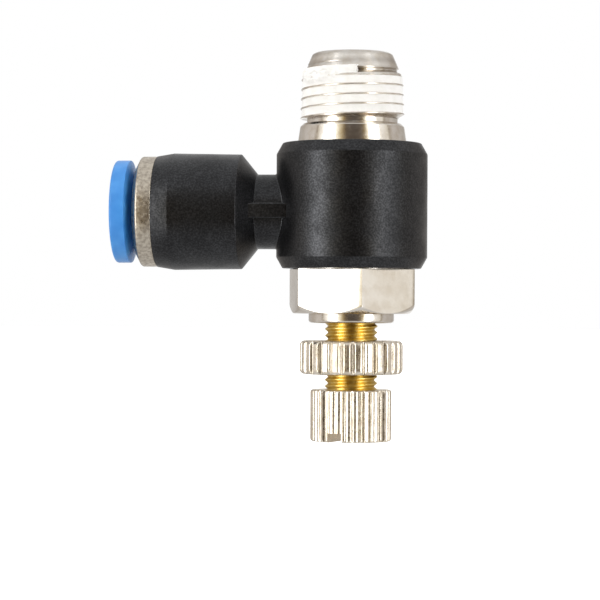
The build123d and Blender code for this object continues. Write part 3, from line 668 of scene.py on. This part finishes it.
def knurl_tree():
    """Geometry Nodes tree: presses straight ridges into a drum that was turned smooth."""
    tree = bpy.data.node_groups.new("straight_knurl", "GeometryNodeTree")
    tree.interface.new_socket(name="Geometry", in_out="INPUT", socket_type="NodeSocketGeometry")
    for name in ("Radius", "Ridges", "Depth", "Turn", "Flat Share", "Wear", "Seed"):
        tree.interface.new_socket(name=name, in_out="INPUT", socket_type="NodeSocketFloat")
    tree.interface.new_socket(name="Material", in_out="INPUT", socket_type="NodeSocketMaterial")
    tree.interface.new_socket(name="Geometry", in_out="OUTPUT", socket_type="NodeSocketGeometry")
    size = add(tree, "NodeGroupInput").outputs
    spot = add(tree, "ShaderNodeSeparateXYZ", (add(tree, "GeometryNodeInputPosition"),))
    angle = calc(tree, "ARCTAN2", spot.outputs["Y"], spot.outputs["X"])
    turned_by = calc(tree, "SUBTRACT", angle, size["Turn"])
    turns = calc(tree, "DIVIDE", turned_by, 2 * math.pi)
    ridge = calc(tree, "MULTIPLY", turns, size["Ridges"])
    # Each ridge is struck a little deeper or shallower than the next.
    number = calc(tree, "ADD", ridge, 0.5)
    whole = calc(tree, "FLOOR", number)
    wrapped = calc(tree, "FLOORED_MODULO", whole, size["Ridges"])
    drawn = calc(tree, "ADD", wrapped, size["Seed"])
    chance = add(tree, "ShaderNodeTexWhiteNoise", {"W": drawn}, noise_dimensions="1D")
    uneven = between(tree, chance.outputs["Value"], low=size["Wear"])
    deep = calc(tree, "MULTIPLY", size["Depth"], uneven)
    wave = calc(tree, "PINGPONG", ridge, 0.5)
    rise = between(tree, wave, 1.0, 0.0, 0.03, size["Flat Share"], form="SMOOTHSTEP")
    groove = calc(tree, "MULTIPLY", rise, deep)
    outline = calc(tree, "SUBTRACT", size["Radius"], groove)
    flat = add(tree, "ShaderNodeCombineXYZ", (spot.outputs["X"], spot.outputs["Y"], 0.0))
    reach = add(tree, "ShaderNodeVectorMath", (flat,), operation="LENGTH")
    kept = calc(tree, "MINIMUM", reach.outputs["Value"], outline)
    cosine = calc(tree, "COSINE", angle)
    sine = calc(tree, "SINE", angle)
    x = calc(tree, "MULTIPLY", cosine, kept)
    y = calc(tree, "MULTIPLY", sine, kept)
    place = add(tree, "ShaderNodeCombineXYZ", (x, y, spot.outputs["Z"]))
    # How deep each point lies in its groove, kept as 'groove' for the painted shade in the knurl's
    # grooves.
    shade_depth = calc(tree, "MULTIPLY", rise, uneven)
    smooth = size["Geometry"]
    marked = add(tree, "GeometryNodeStoreNamedAttribute", {"Geometry": smooth, "Name": "groove"})
    tree.links.new(shade_depth.outputs["Value"], marked.inputs["Value"])
    struck = add(tree, "GeometryNodeSetPosition", {"Geometry": marked, "Position": place})
    real = add(tree, "GeometryNodeRealizeInstances", {"Geometry": struck})
    coated = add(tree, "GeometryNodeSetMaterial", {"Geometry": real, "Material": size["Material"]})
    add(tree, "NodeGroupOutput", {"Geometry": coated})
    return tree


# The knurl's grooves get stronger painted shade than the thread's roots.
KNURLED_NICKEL = nickel_plate(
    "nickel_plated_knurl", "drawn", 0.16, 0.02, 0.29, "#F5EDE0", "#E2D7C4", groove_shade=0.42)
KNURL = knurl_tree()


def as_mesh(shape):
    """A plain mesh from a bmesh."""
    mesh = bpy.data.meshes.new("blank")
    shape.to_mesh(mesh)
    shape.free()
    return mesh


NUT_R, NUT_CROWN, NUT_RIDGES, KNURL_TURN = 4.9, 0.55, 28, math.radians(-84)
NUT_STEPS, KNOB_STEPS = 14, 10   # faces round each ridge
nut_blank = as_mesh(turned([
    (NEEDLE_R + THREAD_GAP, NUT_BOTTOM, 0.15),
    (NUT_R - NUT_CROWN, NUT_BOTTOM, 0.1),
    (NUT_R, NUT_BOTTOM, 0.5),
    (NUT_R, NUT_TOP, 0.5),
    (NUT_R - NUT_CROWN, NUT_TOP, 0.1),
    (NEEDLE_R + THREAD_GAP, NUT_TOP, 0.15),
], steps=NUT_RIDGES * NUT_STEPS))
nut_mesh = grown("nut", KNURL, {
    "Radius": NUT_R * MM, "Ridges": float(NUT_RIDGES), "Depth": 0.34 * MM, "Turn": KNURL_TURN,
    "Flat Share": 0.27, "Wear": 0.6, "Seed": 0.0, "Material": KNURLED_NICKEL}, nut_blank)
nut = finished("lock_nut_knurled", facing_out(nut_mesh), KNURLED_NICKEL, sharp=50)
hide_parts("lock_nut")
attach(nut, "lock")

# ---------------------------------------------------------------------------------------
# Knob. Nickel-plated brass with a finer straight knurl, staked on the needle's end, with
# a slot across it for a screwdriver.

KNOB_R, KNOB_CROWN, KNOB_RIDGES = 3.85, 0.45, 42
SLOT_TURN, SLOT_WIDTH, SLOT_DEPTH, SLOT_REACH = math.radians(70), 1.45, 0.87, 12
knob_blank = as_mesh(turned([
    (0, KNOB_BOTTOM, 0),
    (KNOB_R - KNOB_CROWN, KNOB_BOTTOM, 0.05),
    (KNOB_R, KNOB_BOTTOM, 0.25),
    (KNOB_R, KNOB_TOP, 0.25),
    (KNOB_R - KNOB_CROWN, KNOB_TOP, 0.05),
    (0, KNOB_TOP, 0),
], steps=KNOB_RIDGES * KNOB_STEPS))
knob_mesh = grown("knob", KNURL, {
    "Radius": KNOB_R * MM, "Ridges": float(KNOB_RIDGES), "Depth": 0.2 * MM, "Turn": KNURL_TURN,
    "Flat Share": 0.3, "Wear": 0.25, "Seed": 0.0, "Material": KNURLED_NICKEL}, knob_blank)
knob = finished("knob_knurled", facing_out(knob_mesh), KNURLED_NICKEL, sharp=50)
cutter_shape = bmesh.new()
bmesh.ops.create_cube(cutter_shape, size=1.0)
cutter_size = Vector((SLOT_REACH, SLOT_WIDTH, 2 * SLOT_DEPTH)) * MM
bmesh.ops.scale(cutter_shape, vec=cutter_size, verts=cutter_shape.verts)
bmesh.ops.rotate(cutter_shape, matrix=Matrix.Rotation(SLOT_TURN, 3, "Z"), verts=cutter_shape.verts)
bmesh.ops.translate(cutter_shape, vec=(0, 0, KNOB_BOTTOM * MM), verts=cutter_shape.verts)
cutter = finished("slot_cutter", cutter_shape, KNURLED_NICKEL)


def cut_away(piece, tool):
    """Cuts one mesh with another for good, and removes the tool."""
    modifier = piece.modifiers.new("cut", "BOOLEAN")
    modifier.operation = "DIFFERENCE"
    modifier.object = tool
    modifier.solver = "EXACT"
    seen = piece.evaluated_get(bpy.context.evaluated_depsgraph_get())
    mesh = bpy.data.meshes.new_from_object(seen)
    piece.modifiers.clear()
    piece.data = mesh
    bpy.data.objects.remove(tool)
    mesh.set_sharp_from_angle(angle=math.radians(40))


cut_away(knob, cutter)
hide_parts("knob")
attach(knob, "adjuster")

# ---------------------------------------------------------------------------------------
# Elbow. Injection-moulded glass-filled polyester, black: a ring that swivels on the
# metal shank, a neck stiffened by a rib on each side, and the socket for the tube.

RING_R, RING_BORE_R, CHAMBER_R = 7.15, 5.05, 5.9
BEVEL_IN, BEVEL_ALONG = 0.59, 1.05
RIB_REACH, RIB_WIDTH, RIB_HEIGHT, RIB_MIDDLE = 4.1, 4.6, 1.45, 8.1
# Radii and distances along the arm, in mm from the body's axis.
NECK_R, CONE_R, SOCKET_R, SOCKET_END_R = 3.55, 5.45, 5.55, 5.28
FLOW_R, TUBE_BORE_R, POCKET_R, SOCKET_BORE_R = 1.25, 2.05, 3.3, 4.15
ARM_START, NECK_END, CONE_END, SOCKET_BEVEL, SOCKET_END = 5.95, 8.95, 10.5, 16.9, 18.53
TUBE_STOP, POCKET_START, POCKET_END = 9.4, 12.6, 14.3
# Glass-filled polyester: satin black, its skin faintly speckled by the glass, with soft
# broad highlights.
BLACK, tree, shader = surface("moulded_glass_filled_polyester")
place = add(tree, "ShaderNodeTexCoord").outputs["Object"]
speck = noise(tree, place, 0.16, 5.0)
cloud = noise(tree, place, 2.5, 3.0)
tint = shades(tree, speck, (0.4, "#0A0A0B"), (0.72, "#151517"))
tree.links.new(tint, shader.inputs["Base Color"])
tree.links.new(between(tree, cloud, 0.3, 0.44, 0.3, 0.7), shader.inputs["Roughness"])
worn = between(tree, cloud, 1.12, 0.78, 0.35, 0.65)
glint = between(tree, speck, 0.36, 0.72, 0.42, 0.66)
patchy = calc(tree, "MULTIPLY", glint, worn)
tree.links.new(patchy.outputs["Value"], shader.inputs["Specular IOR Level"])
shader.inputs["Specular Tint"].default_value = linear("#F7F9FF")
raised(tree, shader, speck, 0.003)

ring = turned([
    (RING_BORE_R, RING_BOTTOM, 0.08),
    (RING_R - BEVEL_IN, RING_BOTTOM, 0.15),
    (RING_R, RING_BOTTOM + BEVEL_ALONG, 0.3),
    (RING_R, RING_TOP - BEVEL_ALONG, 0.3),
    (RING_R - BEVEL_IN, RING_TOP, 0.15),
    (RING_BORE_R, RING_TOP, 0.08),
    (RING_BORE_R, RETURN_TOP, 0),
    (CHAMBER_R, RETURN_TOP, 0),
    (CHAMBER_R, RETURN_BOTTOM, 0),
    (RING_BORE_R, RETURN_BOTTOM, 0),
    (RING_BORE_R, SUPPLY_TOP, 0),
    (CHAMBER_R, SUPPLY_TOP, 0),
    (CHAMBER_R, SUPPLY_BOTTOM, 0),
    (RING_BORE_R, SUPPLY_BOTTOM, 0),
])
arm = to_arm(turned([
    (FLOW_R, ARM_START, 0),
    (NECK_R, ARM_START, 0),
    (NECK_R, NECK_END, 0.08),
    (CONE_R, CONE_END, 0.12),
    (SOCKET_R, SOCKET_BEVEL, 0.25),
    (SOCKET_END_R, SOCKET_END, 0.06),
    (SOCKET_BORE_R, SOCKET_END, 0),
    (SOCKET_BORE_R, POCKET_END, 0),
    (POCKET_R, POCKET_END, 0),
    (POCKET_R, POCKET_START, 0),
    (TUBE_BORE_R, POCKET_START, 0.05),
    (TUBE_BORE_R, TUBE_STOP, 0),
    (FLOW_R, TUBE_STOP, 0),
]))


def moulded_root(radius, steps=6, sink=0.4, inner_share=0.9):
    """The fillet where the round neck runs into the round ring, as a closed skin."""
    shape = bmesh.new()
    rows = []
    core_r = NECK_R * inner_share
    for k in range(STEPS):
        turn = 2 * math.pi * k / STEPS
        y, z = (NECK_R + radius) * math.sin(turn), (NECK_R + radius) * math.cos(turn)
        x = -math.sqrt((RING_R + radius) ** 2 - y * y)
        centre = Vector((x, y, z))
        to_neck = Vector((0, -math.sin(turn), -math.cos(turn)))
        to_ring = Vector((-x, -y, 0)).normalized()
        bend = [centre + to_neck.slerp(to_ring, s / steps) * radius for s in range(steps + 1)]
        inside = Vector((x + sink, core_r * math.sin(turn), core_r * math.cos(turn)))
        rows.append([shape.verts.new((p + Vector((0, 0, ARM_Z))) * MM) for p in [*bend, inside]])
    for k, row in enumerate(rows):
        other = rows[(k + 1) % STEPS]
        for i in range(len(row)):
            n = (i + 1) % len(row)
            shape.faces.new([row[i], row[n], other[n], other[i]])
    bmesh.ops.recalc_face_normals(shape, faces=shape.faces)
    return shape


def rib():
    """The bar across the neck whose two ends stand out as the ribs, edges eased."""
    shape = bmesh.new()
    bmesh.ops.create_cube(shape, size=1.0)
    size = Vector((RIB_WIDTH, 2 * RIB_REACH, RIB_HEIGHT)) * MM
    bmesh.ops.scale(shape, vec=size, verts=shape.verts)
    bmesh.ops.translate(shape, vec=(-RIB_MIDDLE * MM, 0, ARM_Z * MM), verts=shape.verts)
    bmesh.ops.bevel(
        shape, geom=shape.edges[:], offset=0.16 * MM, segments=4, profile=0.5, affect="EDGES")
    return shape


elbow = finished("elbow_moulding", [ring, arm, moulded_root(0.15), rib()], BLACK)
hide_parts("elbow_body")
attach(elbow, "elbow")

# The spacer behind the claws is the same black plastic, and the claws are bright spring
# steel; both are seen only down the port.
STEEL, tree, shader = surface("pressed_spring_steel")
place = add(tree, "ShaderNodeTexCoord").outputs["Object"]
gloss = between(tree, noise(tree, place, 0.3, 4.0), 0.18, 0.36)
tree.links.new(gloss, shader.inputs["Roughness"])
shader.inputs["Base Color"].default_value = linear("#C6C8CA")
shader.inputs["Metallic"].default_value = 1.0
for node, material in (("claw_spacer", BLACK), ("lock_claws", STEEL)):
    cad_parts[node].data.materials.clear()
    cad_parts[node].data.materials.append(material)

# ---------------------------------------------------------------------------------------
# Port collar. A nickel-plated brass collar pressed into the socket: barrel plated, so its
# skin is duller and more speckled than the turned body's.

COLLAR_END, COLLAR_R, COLLAR_BORE_R = SOCKET_END + 1.87, 5.25, 3.1
COLLAR_START, CAVITY_END, CAVITY_R = 15.3, 16.6, 3.45
EDGE_IN, EDGE_ALONG, MOUTH_R, MOUTH_DEPTH = 0.85, 0.45, 4.2, 0.5
COLLAR_NICKEL = nickel_plate(
    "barrel_nickel_plate", "cast", 0.14, 0.012, 0.34, "#CFC6B7", "#A79D90", 0.3)
collar = finished("port_collar_turned", to_arm(turned([
    (CAVITY_R, COLLAR_START, 0),
    (SOCKET_BORE_R - FIT_GAP, COLLAR_START, 0),
    (SOCKET_BORE_R - FIT_GAP, SOCKET_END, 0),
    (COLLAR_R, SOCKET_END, 0.08),
    (COLLAR_R, COLLAR_END - EDGE_ALONG, 0.25),
    (COLLAR_R - EDGE_IN, COLLAR_END, 0.12),
    (MOUTH_R, COLLAR_END, 0.05),
    (COLLAR_BORE_R, COLLAR_END - MOUTH_DEPTH, 0.05),
    (COLLAR_BORE_R, CAVITY_END, 0),
    (CAVITY_R, CAVITY_END, 0),
])), COLLAR_NICKEL)
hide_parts("port_collar")
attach(collar, "elbow")

# ---------------------------------------------------------------------------------------
# Release ring. Injection-moulded blue acetal: a rim to press against the collar, and a
# barbed sleeve that opens the claws.

RIM_START = COLLAR_END + 0.73
RIM_END = RIM_START + 1.37
RIM_R, SLEEVE_R, SLEEVE_BORE_R, BARB_R, RIM_MOUTH = 4.88, 3.0, 2.1, 3.3, 0.6
NOSE, BARB_END, BARB_LENGTH, HUB_CONE = 0.3, CAVITY_END - RUN_GAP, 0.5, 0.48
BARB_START = BARB_END - BARB_LENGTH
# Acetal: a dense mid blue, satin, slightly waxy at its edges.
BLUE, tree, shader = surface("moulded_blue_acetal")
place = add(tree, "ShaderNodeTexCoord").outputs["Object"]
tint = shades(tree, noise(tree, place, 1.5, 3.0), (0.3, "#3C8DE2"), (0.7, "#52A2F0"))
tree.links.new(tint, shader.inputs["Base Color"])
shader.inputs["Subsurface Weight"].default_value = 0.05
shader.inputs["Subsurface Radius"].default_value = (0.3, 0.5, 1.0)
shader.inputs["Subsurface Scale"].default_value = 0.6 * MM
grain = noise(tree, place, 0.15, 3.0)
tree.links.new(between(tree, grain, 0.3, 0.42), shader.inputs["Roughness"])
raised(tree, shader, grain, 0.005, strength=0.6)

release = finished("release_ring_moulded", to_arm(turned([
    (SLEEVE_BORE_R, BARB_START - NOSE, 0.05),
    (SLEEVE_R - NOSE, BARB_START - NOSE, 0),
    (SLEEVE_R, BARB_START, 0),
    (BARB_R, BARB_START, 0),
    (BARB_R, BARB_END, 0),
    (SLEEVE_R, BARB_END, 0),
    (SLEEVE_R, RIM_START - HUB_CONE, 0.15),
    (RIM_R, RIM_START, 0.05),
    (RIM_R, RIM_END, 0.22),
    (SLEEVE_BORE_R + RIM_MOUTH, RIM_END, 0.15),
    (SLEEVE_BORE_R, RIM_END - RIM_MOUTH, 0.15),
])), BLUE)
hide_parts("release_ring")
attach(release, "release")

# ---------------------------------------------------------------------------------------
# Studio. A white sweep of paper under a soft white surround, darker on the camera's side,
# which is what draws the grey band down the middle of each bright metal piece.

floor_shape = bmesh.new()
bmesh.ops.create_grid(floor_shape, x_segments=1, y_segments=1, size=3.0)
bmesh.ops.translate(floor_shape, vec=(0, 0, -0.06), verts=floor_shape.verts)
PAPER, tree, shader = surface("white_paper")
shader.inputs["Base Color"].default_value = linear("#FCFCFC")
shader.inputs["Roughness"].default_value = 0.9
shader.inputs["Specular IOR Level"].default_value = 0.0
shader.inputs["Emission Color"].default_value = (1.0, 1.0, 1.0, 1.0)
shader.inputs["Emission Strength"].default_value = 1.0
floor = finished("paper_floor", floor_shape, PAPER)
# The paper only shows to the camera; the surround gives the light that comes up from it.
floor.visible_diffuse = False
floor.visible_glossy = False

world = bpy.data.worlds.new("soft_surround")
bpy.context.scene.world = world
world.use_nodes = True
tree = world.node_tree
tree.nodes.clear()
way = add(tree, "ShaderNodeSeparateXYZ", (add(tree, "ShaderNodeTexCoord").outputs["Generated"],))
bearing = calc(tree, "ARCTAN2", way.outputs["X"], way.outputs["Y"])
# Bearing runs from -180 to 180 degrees; 0 is behind the object, +-180 is the camera's side.
share = between(tree, bearing, start=-math.pi, end=math.pi)
surround = add(tree, "ShaderNodeValToRGB", {0: share})
# Degrees left (-) or right (+) of the camera as seen from the object, with colour and strength.
PANELS = [
    (-176, "#FFFFFF", 1.0), (-155, "#FFF8F0", 0.45), (-115, "#FFF8F2", 0.6), (-84, "#FFF8F2", 0.7),
    (-79, "#FFDFA8", 0.2), (-74, "#FFFAF0", 1.0), (-60, "#FFFFFF", 1.3), (-56, "#FFFFFF", 5.0),
    (-40, "#FFFFFF", 5.0), (-34, "#FFFAF0", 1.4), (-24, "#FFF3D0", 0.9), (-18, "#FFD98A", 0.4),
    (-12, "#FFE2C4", 0.14), (0, "#FFE9D6", 0.1), (18, "#FFE9D6", 0.1), (27, "#FFE2C4", 0.14),
    (33, "#FFD98A", 0.35), (39, "#FFF3D0", 0.9), (46, "#FFFFFF", 4.6), (60, "#FFFFFF", 4.6),
    (65, "#FFFFFF", 1.0), (88, "#FFFAF0", 0.95), (93, "#FFDFA8", 0.2), (98, "#FFF8F2", 0.6),
    (125, "#FFF8F2", 0.55), (160, "#FFF8F0", 0.45), (176, "#FFFFFF", 1.0),
]
BRIGHTEST = 5.0
ramp = surround.color_ramp
ramp.elements[0].position, ramp.elements[1].position = 0.0, 1.0
for turn, code, level in PANELS:
    stop = ramp.elements.new((-turn % 360) / 360)
    stop.color = [part * level / BRIGHTEST for part in linear(code)[:3]] + [1.0]
ramp.elements[0].color = ramp.elements[1].color
ramp.elements[-1].color = ramp.elements[-2].color
sine_up = way.outputs["Z"]
high = between(tree, sine_up, start=0.45, end=0.75)
low = between(tree, sine_up, start=-0.4, end=-0.75)
above = add(tree, "ShaderNodeMix", {0: high}, data_type="RGBA")
tree.links.new(surround.outputs["Color"], above.inputs[6])
above.inputs[7].default_value = [0.85 / BRIGHTEST] * 3 + [1.0]
below = add(tree, "ShaderNodeMix", {0: low}, data_type="RGBA")
tree.links.new(above.outputs[2], below.inputs[6])
below.inputs[7].default_value = [0.7 / BRIGHTEST] * 3 + [1.0]
soft = add(tree, "ShaderNodeBackground", {"Color": below.outputs[2], "Strength": BRIGHTEST})
plain = add(tree, "ShaderNodeBackground", {"Color": (1.0, 1.0, 1.0, 1.0), "Strength": 1.0})
seen = add(tree, "ShaderNodeLightPath").outputs["Is Camera Ray"]
mixed = add(tree, "ShaderNodeMixShader", {0: seen, 1: soft, 2: plain})
add(tree, "ShaderNodeOutputWorld", {"Surface": mixed})
bpy.context.scene.view_settings.view_transform = "Standard"

# Camera: level with the middle of the valve and a little to the right of square on.
YAW, ROLL, DISTANCE, SIDE, LEVEL = math.radians(5.5), math.radians(0.3), 220.0, -4.87, -19.7
across = Vector((math.cos(YAW), math.sin(YAW), 0))
ahead = Vector((-math.sin(YAW), math.cos(YAW), 0))
up = Vector((0, 0, 1))
right = across * math.cos(ROLL) + up * math.sin(ROLL)
top = up * math.cos(ROLL) - across * math.sin(ROLL)
lens = bpy.data.cameras.new("camera")
lens.sensor_width, lens.lens = 36, 139.3
lens.clip_start, lens.clip_end = 0.01, 20
camera = bpy.data.objects.new("camera", lens)
bpy.context.collection.objects.link(camera)
stand = (across * SIDE + up * LEVEL - ahead * DISTANCE) * MM
camera.matrix_world = Matrix((
    (right.x, top.x, -ahead.x, stand.x),
    (right.y, top.y, -ahead.y, stand.y),
    (right.z, top.z, -ahead.z, stand.z),
    (0, 0, 0, 1),
))
bpy.context.scene.camera = camera
